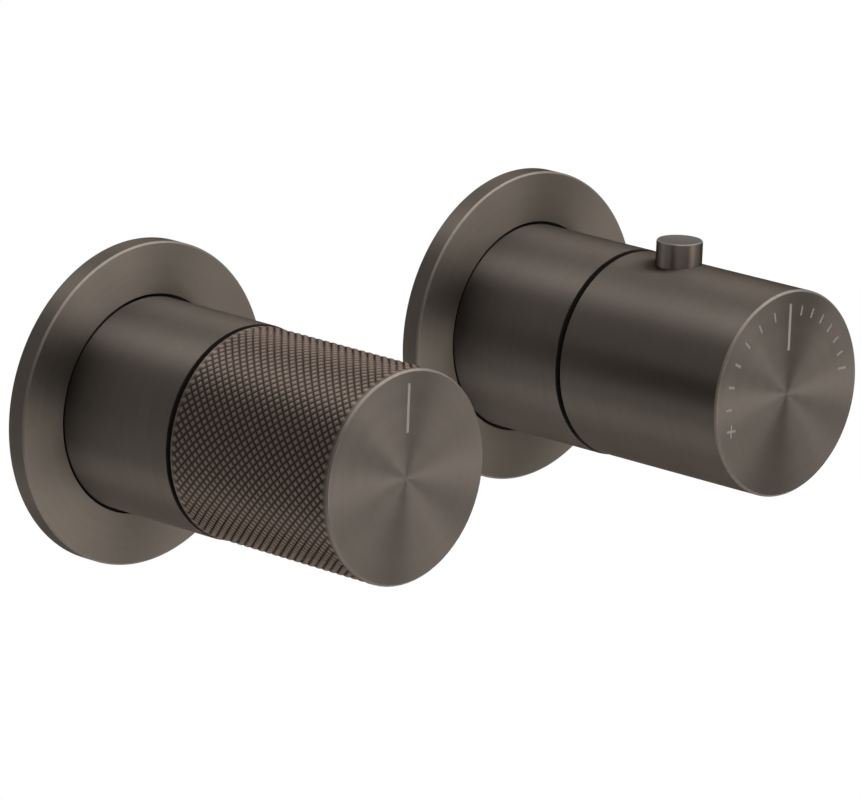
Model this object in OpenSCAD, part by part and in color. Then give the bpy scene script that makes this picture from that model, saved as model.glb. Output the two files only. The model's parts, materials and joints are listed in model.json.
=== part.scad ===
/* [Trim] */
// Distance between the axes of the two handles
handle_spacing = 117; // [116:0.5:150]
// Diameter of the rosettes on the wall
rosette_d = 70; // [62:0.5:90]
// Thickness of the rosettes
rosette_t = 4.5; // [4:0.1:9]
// Outer diameter of the sleeves
sleeve_d = 46.2; // [46:0.1:50]
// Wall of the sleeves
sleeve_wall = 2; // [1.6:0.1:2.2]
// Distance from the finished wall to the front edge of the sleeves
sleeve_front = 34.9; // [30:0.1:35.2]
// Shadow gap between a sleeve and its knob
knob_gap = 1.2; // [0.6:0.1:1.6]
// Outer diameter of the knobs, over the knurl on the left one
knob_d = 45.7; // [45.4:0.1:50]
// Side wall of the knobs
knob_wall = 3; // [2.6:0.1:3.2]
// Distance from the finished wall to the faces of the knobs
knob_front = 82; // [80:0.5:100]
// Thickness of the faces of the knobs
knob_face_t = 4.5; // [3.5:0.1:6]
// Chamfer around the faces of the knobs
knob_chamfer = 0.5; // [0.2:0.1:1]
// Depth of the engraved marks
mark_depth = 0.25; // [0.1:0.05:0.5]
// Angle between two marks on the hot side of the dial
hot_step = 15.5; // [12:0.5:18]
// Angle between two marks on the cold side of the dial
cold_step = 11.5; // [9:0.5:14]

/* [Safety button] */
// Diameter of the button
button_d = 10.2; // [9:0.1:11]
// Height of the button above the knob
button_h = 5.2; // [4:0.1:7]
// Travel of the button
button_travel = 2.5; // [1.5:0.1:2.6]
// Distance from the finished wall to the axis of the button
button_z = 49; // [48.8:0.1:50]

/* [Body in the wall] */
// Distance from the finished wall to the back face of the body
wall_depth = 60; // [60:0.5:75]
// Length of the necks in front of the finished wall
neck_len = 14; // [13:0.5:16]
// Distance between the hot and the cold inlet
inlet_spacing = 36; // [35:0.5:37]
// Distance from the handle axes down to the inlet faces
inlet_drop = 62; // [62:0.5:80]
// Distance from the handle axes up to the outlet face
outlet_rise = 44; // [42:0.5:60]
// Diameter inside the half inch pipe threads
pipe_bore_d = 18.63; // [18.4:0.01:18.7]
// Length of the pipe threads
pipe_thread_len = 15; // [12:0.5:15]
// Thickness of the fixing plate
plate_t = 5; // [4:0.5:8]
// Horizontal distance between the fixing holes
fixing_x = 40; // [36:1:40]
// Vertical distance between the fixing holes
fixing_y = 48; // [44:1:60]
// Diameter of the fixing holes
fixing_hole_d = 5.5; // [4.5:0.1:6.5]

/* [Hidden] */
// Radial clearance of pieces that turn or slide in each other
fit = 0.05;
// Clearance between faces that are seated on each other
seat = 0.03;
// Overrun of every cut
cut = 1;
// Chamfer of turned edges
edge = 0.3;
$fn = 64;

// Radii of the trim
rosette_r = rosette_d / 2;
sleeve_r = sleeve_d / 2;
sleeve_in_r = sleeve_r - sleeve_wall;
knob_r = knob_d / 2;
knob_in_r = knob_r - knob_wall;
knob_back = sleeve_front + knob_gap;
knob_floor = knob_front - knob_face_t;
button_r = button_d / 2;

// Rosette: gap around the sleeve, holding ring and foam gasket
rosette_play = 0.6;
rosette_bore_r = sleeve_r + rosette_play;
rosette_ring_c = 0.78;
rosette_ring_z = 2.2;
rosette_ring_mid = sleeve_r + seat + rosette_ring_c;
rosette_groove_depth = rosette_ring_mid + rosette_ring_c + seat - rosette_bore_r;
rosette_rim = 1.4;
gasket_w = 3.6;
gasket_out_r = rosette_r - rosette_rim;
gasket_in_r = gasket_out_r - gasket_w;
gasket_t = 1.6;

// Sleeve: ring grooves of the neck and the inner web
sleeve_ring_c = 1;
sleeve_web_t = 3;
sleeve_web_bore_r = 15;

// Body: chambers, necks, passages
seat_shoulder = 0.4;
chamber_r = sleeve_r + seat_shoulder;
ring_room = 1.1;
neck_r = sleeve_in_r - ring_room;
back_wall = 6;
port_floor = -(wall_depth - back_wall);
gallery_r = 5;
gallery_wall = 5;
gallery_z = port_floor + gallery_r + edge;
plug_shoulder = 0.8;
plug_r = gallery_r + plug_shoulder;
plug_len = 6;
plug_key_r = 2.9;
plug_key_depth = 4;
plate_rim = 7;
plate_w = fixing_x + 2 * plate_rim;
plate_h = fixing_y + 2 * plate_rim;
plate_corner = 5;
outlet_z = -22;
outlet_boss_r = 14;
outlet_bore_r = 6.5;
outlet_annulus_r = 14.5;
outlet_annulus_w = 14;
port_annulus_r = 19.8;
port_annulus_w = 7;
cold_z = -18.5;
hot_z = -30.5;
mixed_r = 12;
cartridge_floor = -42.5;

// Inlets: towers below the temperature chamber
tower_r = 14;
tower_z = (hot_z + cold_z) / 2;
tower_top = 2;
riser_r = 3.4;
riser_shift = 5;
riser_top = -4;
strainer_rim_r = 9;
strainer_rim_t = 1;
pocket_r = 8.6;
pocket_len = 20;
pipe_r = pipe_bore_d / 2;
rim_y = -inlet_drop + pipe_thread_len;
pocket_y = rim_y + strainer_rim_t + seat;
pocket_top = pocket_y + pocket_len;

// Volume headwork and its ceramic discs
headwork_r = 11.9;
headwork_thread_r = 12.6;
headwork_thread_len = 18;
headwork_hex = 32;
headwork_hex_t = 6;
headwork_seat_z = -38;
headwork_port_r = 7;
seat_gasket_t = 2;
cavity_r = 9.6;
cavity_top = -15;
headwork_ring_c = 0.9;
headwork_ring_z = (cavity_top + neck_len - headwork_thread_len) / 2;
window_w = 11;
window_h = 10;
window_z = outlet_z;
disc_r = 9.5;
fixed_disc_t = 4;
moving_disc_t = 3.5;
disc_port_in_r = 2.4;
disc_port_out_r = 7.4;
disc_port_angle = 78;
fixed_disc_z = headwork_seat_z + seat_gasket_t;
moving_disc_z = fixed_disc_z + fixed_disc_t;
driver_z = moving_disc_z + moving_disc_t;
driver_r = 8.8;
driver_w = 8;
driver_t = 2.5;
key_w = 4;
key_t = 1.5;

// Spindles, their rings, clips and splines
neck_out_r = 9;
neck_front = 46.2;
spindle_r = 5.5;
spindle_bore_r = spindle_r + fit;
collar_r = 8;
collar_t = 1.5;
spindle_ring_c = 0.7;
ring_pitch = 5;
volume_ring_z = cavity_top + ring_pitch;
clip_t = 1;
clip_in_r = 4.95;
clip_out_r = 7.6;
clip_opening = 60;
spline_r = 4.95;
spline_depth = 0.55;
spline_teeth = 20;
insert_depth = 11.5;
hub_len = 15;
spline_run = 1;
spindle_end = knob_floor - insert_depth;
insert_hub_z = spindle_end - hub_len;
spline_start = insert_hub_z - spline_run;

// Inserts that carry the knobs
insert_r = knob_in_r - fit;
insert_wall = 2.3;
insert_len = 16;
insert_web_t = 3;
screw_r = 1.9;
screw_head_r = 3.6;
screw_head_t = 2.6;
screw_len = 11;
screw_key_r = 1.5;
screw_key_depth = 1.5;
grub_r = 2.5;
grub_z = spindle_end + insert_web_t + edge + grub_r;
grub_sink = 0.5;
grub_bite = 1;
grub_key_r = 1.3;
grub_key_depth = 2;

// Thermostatic cartridge
cartridge_r = 17;
cartridge_front = 4;
temp_ring_z = cartridge_front + ring_pitch;
cartridge_bore_r = 13.5;
nut_bore_r = 11;
nut_bore_z = -14;
front_wall_z = -2;
port_window_w = 10;
port_window_h = 4;
cartridge_ring_c = 1;
cartridge_ring_places = [
    (cartridge_floor + hot_z - port_annulus_w / 2) / 2,
    (hot_z + cold_z) / 2,
    (cold_z + port_annulus_w / 2 + cartridge_front) / 2
];
nut_thread_r = 17.6;
nut_len = 9;
nut_in_r = 10;
nut_slot_w = 4;
nut_slot_depth = 3;
seat_washer_t = 1.15;
seat_washer_in_r = 7.8;

// Regulating nut, its keys, overload spring and thrust cap
screw_thread_r = 6;
reg_nut_r = nut_bore_r - 2 * fit;
reg_nut_front = -6.5;
reg_nut_step = -14.5;
reg_nut_tail_r = 9.7;
reg_nut_back = -24.6;
reg_cavity_r = 8.4;
reg_cavity_top = -13;
reg_key_w = 3;
reg_key_r = 12.5;
reg_key_len = 4;
reg_key_z = -11.5;
keyway_len = 9;
thrust_cap_r = 8.1;
thrust_cap_t = 1.5;
thrust_clip_r = 9;
thrust_clip_t = 0.5;
thrust_clip_in_r = 7.2;
thrust_clip_z = reg_nut_back + thrust_clip_t;
thrust_cap_z = thrust_clip_z + thrust_clip_t + 2 * seat;
overload_r = 7.2;
overload_wire_r = 0.55;
overload_turns = 4;

// Wax element and shuttle
shuttle_r = cartridge_bore_r - fit;
shuttle_in_r = 11.3;
shuttle_ring_c = 0.7;
web_back = -27.2;
web_t = 1.6;
web_hub_r = 5.8;
flow_hole_r = 1.4;
flow_hole_at = 7.5;
wax_r = 4.2;
wax_tail = -40;
wax_flange_r = 5.4;
wax_flange_t = 0.9;
wax_pin_r = 1.4;
return_r = 9.7;
return_wire_r = 0.6;
return_turns = 5;

// Stop ring on the cartridge neck
stop_ring_z = 40;
stop_web_t = 2;
stop_rim_in_r = 13.6;
stop_rim_r = 16;
stop_rim_t = 5;
stop_start = 102;
stop_end = 195;
neck_flats = 15.6;

// Button: stem, clip, boss in the knob
stem_r = 2.2;
button_clip_r = 3.2;
button_clip_t = 0.6;
button_groove = 0.4;
boss_r = 7.5;
boss_floor_t = 1;
stop_play = 0.6;
spring_room = 1.4;
boss_end = stop_rim_r + stop_play;
boss_floor = boss_end + boss_floor_t;
button_base = boss_floor + button_travel + spring_room;
button_top = knob_r + button_h;
button_clip_at = boss_end - button_clip_t - seat;
stem_nose = 2;
stem_end = button_clip_at - stem_nose;
button_spring_r = 3.7;
button_wire_r = 0.2;
button_turns = 2.5;
button_play = 0.07;

// Check valves and strainers in the inlets
check_r = pocket_r - 2 * fit;
check_len = 17;
check_entry_r = 6;
check_entry_len = 6;
check_seat_r = 4.2;
check_seat_t = 1;
check_bore_r = 7;
check_ring_c = 0.7;
guide_t = 2;
guide_hub_r = 2.6;
guide_arm_w = 1.6;
poppet_r = 5.6;
poppet_t = 2;
poppet_stem_r = 1.2;
check_spring_r = 3.6;
check_wire_r = 0.2;
check_turns = 5;
check_y = pocket_y + seat;
check_seat_y = check_y + check_entry_len;
guide_y = check_y + check_len - guide_t;
poppet_y = check_seat_y + check_seat_t + seat;
strainer_r = 5.4;
strainer_wall = 0.5;
strainer_h = 4.5;
strainer_hole_r = 0.7;
strainer_holes = 10;
strainer_rows = 2;

// Marks on the faces: the long line, the ticks, the plus and the minus
line_w = 0.9;
line_in_share = 0.42;
line_out_share = 0.875;
tick_w = 0.5;
tick_len = 2.2;
tick_at_share = 0.8;
tick_count = 6;
sign_len = 2.7;

// Frames: z runs out of the finished wall, y runs up, x runs to the right
module wall_frame() {
    translate([0, -wall_depth, 0]) rotate([90, 0, 0]) children();
}

module volume_frame() {
    wall_frame() translate([-handle_spacing / 2, 0, 0]) children();
}

module temp_frame() {
    wall_frame() translate([handle_spacing / 2, 0, 0]) children();
}

// Upright frame in the wall frame: z runs up from the height of the handle axes
module upright(x, z) {
    translate([x, 0, z]) rotate([-90, 0, 0]) children();
}

module hot_frame() {
    temp_frame() upright(-inlet_spacing / 2, tower_z) children();
}

module cold_frame() {
    temp_frame() upright(inlet_spacing / 2, tower_z) children();
}

// Basic turned shapes
module rod(r, from, to) {
    translate([0, 0, from]) cylinder(h = to - from, r = r);
}

module tube(r, bore, from, to) {
    difference() {
        rod(r, from, to);
        rod(bore, from - cut, to + cut);
    }
}

module turned(outline) {
    rotate_extrude() polygon(outline);
}

// Rings of round section: the ring bears on a bore outside it
function ring_mid(bore, c) = bore - seat - c;

module o_ring(mid, c, z) {
    translate([0, 0, z]) rotate_extrude() translate([mid, 0]) circle(r = c);
}

module shaft_groove(bore, c, z) {
    tube(bore + cut, ring_mid(bore, c) - c - seat, z - c - edge / 2, z + c + edge / 2);
}

// Wedge between two angles, under half a turn wide
module wedge(r, a0, a1, from, to) {
    reach = r / cos((a1 - a0) / 4);
    mid = (a0 + a1) / 2;
    translate([0, 0, from]) linear_extrude(to - from) polygon([
        [0, 0],
        [reach * cos(a0), reach * sin(a0)],
        [reach * cos(mid), reach * sin(mid)],
        [reach * cos(a1), reach * sin(a1)]
    ]);
}

module sector(r, bore, a0, a1, from, to) {
    intersection() {
        tube(r, bore, from, to);
        wedge(2 * r, a0, a1, from - cut, to + cut);
    }
}

// Spline outline: teeth around a circle
function spline_points(teeth, tip, root) = [
    for (i = [0 : 2 * teeth - 1])
        let (r = i % 2 == 0 ? tip : root, a = 180 * i / teeth)
            [r * cos(a), r * sin(a)]
];

module spline(tip, from, to) {
    translate([0, 0, from]) linear_extrude(to - from)
        polygon(spline_points(spline_teeth, tip, tip - spline_depth));
}

// Coil spring: one tube swept along a helix, with flat laid end turns
coil_sides = 6;
coil_rings = 10;
end_turn = 0.75;

function coil_height(t, turns, wire_r, length) =
    let (room = length - 2 * wire_r - 4 * wire_r * end_turn)
        t < end_turn ? 2 * wire_r * t
        : t > turns - end_turn
            ? length - 2 * wire_r - 2 * wire_r * (turns - t)
            : 2 * wire_r * end_turn + room * (t - end_turn) / (turns - 2 * end_turn);

function coil_centre(t, r, turns, wire_r, length) =
    [r * cos(360 * t), r * sin(360 * t), wire_r + coil_height(t, turns, wire_r, length)];

function coil_points(r, turns, wire_r, length, steps) = [
    for (i = [0 : steps])
        let (t = turns * i / steps, c = coil_centre(t, r, turns, wire_r, length))
            for (k = [0 : coil_sides - 1])
                let (a = 360 * k / coil_sides)
                    c + wire_r * [cos(a) * cos(360 * t), cos(a) * sin(360 * t), sin(a)]
];

function coil_faces(steps) = concat(
    [for (i = [0 : steps - 1], k = [0 : coil_sides - 1])
        let (a = i * coil_sides + k, b = i * coil_sides + (k + 1) % coil_sides)
            [a, a + coil_sides, b + coil_sides, b]],
    [[for (k = [0 : coil_sides - 1]) k]],
    [[for (k = [coil_sides - 1 : -1 : 0]) steps * coil_sides + k]]
);

module coil(r, turns, wire_r, length) {
    steps = ceil(turns * coil_rings);
    pitch = (length - 2 * wire_r - 4 * wire_r * end_turn) / (turns - 2 * end_turn);
    echo("least gap between turns", pitch - 2 * wire_r);
    polyhedron(coil_points(r, turns, wire_r, length, steps), coil_faces(steps));
}

// Valve body: two chambers, the mixed water gallery between them, inlets, outlet and plate
module inlet_tower() {
    rod(tower_r, -inlet_drop, tower_top);
}

module inlet_bores(shift) {
    rod(pipe_r, -inlet_drop - cut, rim_y);
    rod(strainer_rim_r, rim_y - cut, pocket_y);
    rod(pocket_r, pocket_y - cut, pocket_top);
    translate([0, shift, 0]) rod(riser_r, pocket_top - cut, riser_top);
}

module chamber() {
    rod(chamber_r, -wall_depth, 0);
    rod(neck_r, -cut, neck_len);
}

module plate_outline() {
    w = plate_w / 2;
    h = plate_h / 2;
    c = plate_corner;
    polygon([
        [-w, c - h], [c - w, -h], [w - c, -h], [w, c - h],
        [w, h - c], [w - c, h], [c - w, h], [-w, h - c]
    ]);
}

module volume_bores() {
    rod(headwork_thread_r + fit, neck_len - headwork_thread_len, neck_len + cut);
    rod(headwork_r + fit, headwork_seat_z, neck_len);
    rod(outlet_annulus_r, outlet_z - outlet_annulus_w / 2, outlet_z + outlet_annulus_w / 2);
    rod(headwork_port_r, port_floor, headwork_seat_z + cut);
    upright(0, outlet_z) {
        rod(outlet_bore_r, headwork_r, outlet_rise);
        rod(pipe_r, outlet_rise - pipe_thread_len, outlet_rise + cut);
    }
}

module temp_bores() {
    rod(nut_thread_r + fit, cartridge_front, neck_len + cut);
    rod(cartridge_r + fit, cartridge_floor, neck_len);
    for (z = [hot_z, cold_z])
        rod(port_annulus_r, z - port_annulus_w / 2, z + port_annulus_w / 2);
    rod(mixed_r, port_floor, cartridge_floor + cut);
}

module sleeve_ring_grooves() {
    for (z = [neck_len / 3, neck_len * 2 / 3])
        shaft_groove(sleeve_in_r, sleeve_ring_c, z);
}

module valve_body() {
    half = handle_spacing / 2;
    color("#b58b4c") wall_frame() difference() {
        union() {
            for (x = [-half, half])
                translate([x, 0, 0]) chamber();
            translate([-half, 0, gallery_z]) rotate([0, 90, 0])
                rod(gallery_r + gallery_wall, 0, handle_spacing);
            translate([0, 0, -wall_depth]) linear_extrude(plate_t) plate_outline();
            for (s = [-1, 1])
                upright(half + s * inlet_spacing / 2, tower_z) inlet_tower();
            upright(-half, outlet_z) rod(outlet_boss_r, 0, outlet_rise);
        }
        translate([-half, 0, 0]) {
            volume_bores();
            sleeve_ring_grooves();
        }
        translate([half, 0, 0]) {
            temp_bores();
            sleeve_ring_grooves();
        }
        translate([-half, 0, gallery_z]) rotate([0, 90, 0])
            rod(gallery_r, 0, handle_spacing + chamber_r - plug_len + cut);
        translate([half, 0, gallery_z]) rotate([0, 90, 0])
            rod(plug_r, chamber_r - plug_len, chamber_r + cut);
        upright(half - inlet_spacing / 2, tower_z) inlet_bores(riser_shift);
        upright(half + inlet_spacing / 2, tower_z) inlet_bores(-riser_shift);
        for (sx = [-1, 1], sy = [-1, 1])
            translate([sx * fixing_x / 2, sy * fixing_y / 2, 0])
                rod(fixing_hole_d / 2, -wall_depth - cut, -wall_depth + plate_t + cut);
    }
}

// Plug that closes the drilled end of the gallery
module gallery_plug() {
    color("#a67f45") temp_frame() translate([0, 0, gallery_z]) rotate([0, 90, 0])
        difference() {
            rod(plug_r - fit, chamber_r - plug_len + seat, chamber_r - edge);
            translate([0, 0, chamber_r - edge - plug_key_depth])
                cylinder(h = plug_key_depth + cut, r = plug_key_r, $fn = 6);
        }
}

// Rosette: cover plate on the wall, with a ring groove in its bore and a gasket groove behind
module rosette() {
    color("#5a544e") difference() {
        turned([
            [rosette_bore_r, 0],
            [rosette_r, 0],
            [rosette_r, rosette_t - 2 * edge],
            [rosette_r - 2 * edge, rosette_t],
            [rosette_bore_r, rosette_t]
        ]);
        rod(rosette_bore_r + rosette_groove_depth,
            rosette_ring_z - rosette_ring_c - edge / 2,
            rosette_ring_z + rosette_ring_c + edge / 2);
        tube(gasket_out_r, gasket_in_r, -cut, gasket_t);
    }
}

module volume_rosette() {
    volume_frame() rosette();
}

module temp_rosette() {
    temp_frame() rosette();
}

module both_frames() {
    volume_frame() children();
    temp_frame() children();
}

module rosette_gaskets() {
    color("#2a2a2a") both_frames()
        tube(gasket_out_r - fit, gasket_in_r + fit, 0, gasket_t - seat);
}

module rosette_rings() {
    color("#151515") both_frames()
        o_ring(rosette_ring_mid, rosette_ring_c, rosette_ring_z);
}

// Sleeve: tube around the neck, closed in front by an inner web
module sleeve() {
    color("#4f4943") turned([
        [sleeve_in_r, seat],
        [sleeve_r, seat],
        [sleeve_r, sleeve_front - edge],
        [sleeve_r - edge, sleeve_front],
        [sleeve_web_bore_r, sleeve_front],
        [sleeve_web_bore_r, sleeve_front - sleeve_web_t],
        [sleeve_in_r, sleeve_front - sleeve_web_t]
    ]);
}

module volume_sleeve() {
    volume_frame() sleeve();
}

module temp_sleeve() {
    temp_frame() sleeve();
}

module sleeve_rings() {
    color("#151515") both_frames()
        for (z = [neck_len / 3, neck_len * 2 / 3])
            o_ring(ring_mid(sleeve_in_r, sleeve_ring_c), sleeve_ring_c, z);
}

// Volume headwork: threaded into the left chamber, with two side windows for the water
module headwork_body() {
    color("#c0995a") volume_frame() difference() {
        union() {
            rod(headwork_r, fixed_disc_z, neck_len);
            rod(headwork_thread_r, neck_len - headwork_thread_len + cut, neck_len);
            translate([0, 0, neck_len + seat])
                cylinder(h = headwork_hex_t, d = headwork_hex / cos(30), $fn = 6);
            rod(neck_out_r, neck_len, neck_front);
        }
        rod(cavity_r, fixed_disc_z - cut, cavity_top);
        rod(spindle_bore_r, cavity_top - cut, neck_front + cut);
        cube_through(window_w, window_h, window_z);
        shaft_groove(headwork_r + fit, headwork_ring_c, headwork_ring_z);
    }
}

// Slot straight through a turned piece, from left to right
module cube_through(w, h, z) {
    translate([0, 0, z]) cube([4 * cartridge_r, w, h], center = true);
}

module headwork_ring() {
    color("#151515") volume_frame()
        o_ring(ring_mid(headwork_r + fit, headwork_ring_c), headwork_ring_c, headwork_ring_z);
}

module seat_gasket() {
    color("#202020") volume_frame()
        tube(headwork_r - fit, headwork_port_r + edge, headwork_seat_z + seat, fixed_disc_z - seat);
}

// Ceramic discs: two ports each, a quarter turn apart when the water is off
module disc_ports(turn, from, to) {
    for (a = [turn, turn + 180])
        sector(disc_port_out_r, disc_port_in_r, a - disc_port_angle / 2,
            a + disc_port_angle / 2, from - cut, to + cut);
}

module fixed_disc() {
    color("#e6e3da") volume_frame() difference() {
        rod(disc_r, fixed_disc_z, moving_disc_z - seat);
        disc_ports(0, fixed_disc_z, moving_disc_z);
    }
}

module moving_disc() {
    color("#dcd9d0") volume_frame() difference() {
        rod(disc_r, moving_disc_z, driver_z);
        disc_ports(90, moving_disc_z, driver_z);
        cube_through(key_w + 2 * fit, 2 * (key_t + seat), driver_z);
    }
}

// Thermostatic cartridge: housing with its windows, keyways, ring grooves and flats
module cartridge_housing() {
    color("#c6c2b8") temp_frame() difference() {
        union() {
            rod(cartridge_r, cartridge_floor + seat, cartridge_front);
            rod(neck_out_r, cartridge_front - cut, stop_ring_z);
            intersection() {
                rod(neck_out_r, stop_ring_z - cut, neck_front);
                translate([0, 0, neck_front / 2])
                    cube([neck_flats, 4 * neck_out_r, neck_front + cut], center = true);
            }
        }
        rod(cartridge_bore_r, cartridge_floor - cut, nut_bore_z);
        rod(nut_bore_r, nut_bore_z - cut, front_wall_z);
        rod(spindle_bore_r, front_wall_z - cut, neck_front + cut);
        translate([0, 0, nut_bore_z + keyway_len / 2 - cut / 2])
            cube([2 * (reg_key_r + fit), reg_key_w + 2 * fit, keyway_len + cut], center = true);
        for (z = [hot_z, cold_z]) {
            cube_through(port_window_w, port_window_h, z);
            rotate([0, 0, 90]) cube_through(port_window_w, port_window_h, z);
        }
        for (z = cartridge_ring_places)
            shaft_groove(cartridge_r + fit, cartridge_ring_c, z);
    }
}

module cartridge_rings() {
    color("#151515") temp_frame()
        for (z = cartridge_ring_places)
            o_ring(ring_mid(cartridge_r + fit, cartridge_ring_c), cartridge_ring_c, z);
}

module cartridge_nut() {
    color("#b08a4a") temp_frame() difference() {
        tube(nut_thread_r, nut_in_r, cartridge_front + seat, cartridge_front + nut_len);
        for (a = [0, 90])
            rotate([0, 0, a]) cube_through(nut_slot_w, 2 * nut_slot_depth,
                cartridge_front + nut_len);
    }
}

module spring_seat() {
    color("#b9bcbe") temp_frame()
        tube(cartridge_bore_r - fit, seat_washer_in_r, cartridge_floor + seat,
            cartridge_floor + seat + seat_washer_t);
}

// Stop ring: sits on the flats of the cartridge neck, its rim limits the hot side
module stop_ring() {
    color("#d8d4c8") temp_frame() difference() {
        union() {
            rod(stop_rim_r, stop_ring_z + seat, stop_ring_z + stop_web_t);
            for (a = [stop_start, (stop_start + stop_end) / 2])
                sector(stop_rim_r, stop_rim_in_r, a, a + (stop_end - stop_start) / 2,
                    stop_ring_z + seat, stop_ring_z + stop_rim_t);
        }
        intersection() {
            rod(neck_out_r + fit, stop_ring_z - cut, stop_ring_z + stop_rim_t + cut);
            translate([0, 0, stop_ring_z])
                cube([neck_flats + 2 * fit, 4 * neck_out_r, 4 * stop_rim_t], center = true);
        }
    }
}

// Spindle with shaft, clip groove, ring grooves, spline and tapped end
module spindle(shaft_from, ring_from) {
    difference() {
        union() {
            rod(spindle_r, shaft_from, spline_start);
            spline(spline_r, spline_start - cut, spindle_end - fit);
        }
        tube(spindle_r + cut, clip_in_r - fit, neck_front + seat,
            neck_front + clip_t + 4 * seat);
        for (i = [0, 1])
            shaft_groove(spindle_bore_r, spindle_ring_c, ring_from + i * ring_pitch);
        rod(screw_r + fit, spindle_end - screw_len, spindle_end + cut);
    }
}

module spindle_rings(ring_from) {
    for (i = [0, 1])
        o_ring(ring_mid(spindle_bore_r, spindle_ring_c), spindle_ring_c,
            ring_from + i * ring_pitch);
}

module clip() {
    difference() {
        tube(clip_out_r, clip_in_r, neck_front + 2 * seat, neck_front + 2 * seat + clip_t);
        wedge(2 * clip_out_r, -90 - clip_opening / 2, -90 + clip_opening / 2, neck_front - cut,
            neck_front + 2 * clip_t + cut);
    }
}

module volume_spindle() {
    color("#c9a35f") volume_frame() {
        spindle(driver_z + driver_t, volume_ring_z);
        rod(collar_r, cavity_top - seat - collar_t, cavity_top - seat);
        intersection() {
            rod(driver_r, driver_z + seat, driver_z + driver_t + cut);
            cube_through(driver_w, 4 * driver_t, driver_z + driver_t - cut);
        }
        intersection() {
            rod(driver_r, driver_z - key_t, driver_z + driver_t);
            cube_through(key_w, 4 * driver_t, driver_z);
        }
    }
}

module volume_spindle_rings() {
    color("#151515") volume_frame() spindle_rings(volume_ring_z);
}

module volume_clip() {
    color("#9a9da0") volume_frame() clip();
}

module temp_spindle() {
    color("#c9a35f") temp_frame() {
        spindle(front_wall_z - collar_t - seat, temp_ring_z);
        rod(collar_r, front_wall_z - 2 * collar_t, front_wall_z - seat);
        rod(screw_thread_r, reg_cavity_top + 2 * edge, front_wall_z - collar_t);
    }
}

module temp_spindle_rings() {
    color("#151515") temp_frame() spindle_rings(temp_ring_z);
}

module temp_clip() {
    color("#9a9da0") temp_frame() clip();
}

// Insert: hub on the spline, web, and ring inside the knob
module insert() {
    web_z = spindle_end;
    color("#3a3a3a") difference() {
        union() {
            rod(neck_out_r, insert_hub_z, web_z + insert_web_t);
            rod(insert_r - cut, web_z, web_z + insert_web_t);
            tube(insert_r, insert_r - insert_wall, knob_floor - insert_len, knob_floor - seat);
        }
        spline(spline_r + fit, insert_hub_z - cut, web_z);
        rod(screw_r + 3 * fit, insert_hub_z, web_z + insert_web_t + cut);
        translate([0, 0, grub_z]) rotate([90, 0, 0])
            rod(grub_r + fit, insert_r - grub_bite, insert_r + cut);
    }
}

module volume_insert() {
    volume_frame() insert();
}

module temp_insert() {
    temp_frame() insert();
}

module insert_screw() {
    head_z = spindle_end + insert_web_t + seat;
    color("#a8abad") difference() {
        union() {
            rod(screw_head_r, head_z, head_z + screw_head_t);
            rod(screw_r, spindle_end - screw_len + edge, head_z + edge);
        }
        translate([0, 0, head_z + screw_head_t - screw_key_depth])
            cylinder(h = screw_key_depth + cut, r = screw_key_r, $fn = 6);
    }
}

module volume_insert_screw() {
    volume_frame() insert_screw();
}

module temp_insert_screw() {
    temp_frame() insert_screw();
}

module grub_screw() {
    color("#8d9092") translate([0, 0, grub_z]) rotate([90, 0, 0]) difference() {
        rod(grub_r, insert_r - grub_bite + seat, knob_r - grub_sink);
        translate([0, 0, knob_r - grub_sink - grub_key_depth])
            cylinder(h = grub_key_depth + cut, r = grub_key_r, $fn = 6);
    }
}

module volume_grub_screw() {
    volume_frame() grub_screw();
}

module temp_grub_screw() {
    temp_frame() grub_screw();
}

// Knob: a cup over the insert, with the marks cut in its face
module knob_blank() {
    turned([
        [knob_in_r, knob_back],
        [knob_r - edge, knob_back],
        [knob_r, knob_back + edge],
        [knob_r, knob_front - knob_chamfer],
        [knob_r - knob_chamfer, knob_front],
        [0, knob_front],
        [0, knob_floor],
        [knob_in_r, knob_floor]
    ]);
}

module mark(angle, w, from, to) {
    rotate([0, 0, angle]) translate([from, -w / 2, knob_front - mark_depth])
        cube([to - from, w, mark_depth + cut]);
}

module long_line() {
    mark(90, line_w, line_in_share * knob_r, line_out_share * knob_r);
}

module grub_hole() {
    translate([0, 0, grub_z]) rotate([90, 0, 0]) rod(grub_r + fit, knob_in_r - cut, knob_r + cut);
}

module volume_knob() {
    color("#57514b") volume_frame() difference() {
        knob_blank();
        long_line();
        grub_hole();
    }
}

// Bars of the signs lie level or upright, at an angle around the dial
module sign_bar(angle, w, h) {
    at = tick_at_share * knob_r;
    translate([at * cos(angle), at * sin(angle), knob_front - mark_depth / 2 + cut / 2])
        cube([w, h, mark_depth + cut], center = true);
}

module dial_marks() {
    at = tick_at_share * knob_r;
    for (i = [1 : tick_count], turn = [i * hot_step, -i * cold_step])
        mark(90 + turn, tick_w, at - tick_len / 2, at + tick_len / 2);
    plus_turn = (tick_count + 1) * hot_step;
    minus_turn = (tick_count + 1) * cold_step;
    sign_bar(90 + plus_turn, sign_len, tick_w);
    sign_bar(90 + plus_turn, tick_w, sign_len);
    sign_bar(90 - minus_turn, sign_len, tick_w);
}

module temp_knob() {
    color("#57514b") temp_frame() difference() {
        union() {
            knob_blank();
            intersection() {
                upright(0, button_z) rod(boss_r, boss_end, knob_r);
                rod(knob_in_r + cut / 2, knob_back, knob_floor);
            }
        }
        upright(0, button_z) {
            rod(button_r + button_play, boss_floor, knob_r + cut);
            rod(stem_r + fit, boss_end - cut, boss_floor + cut);
        }
        long_line();
        dial_marks();
        grub_hole();
    }
}

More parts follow.
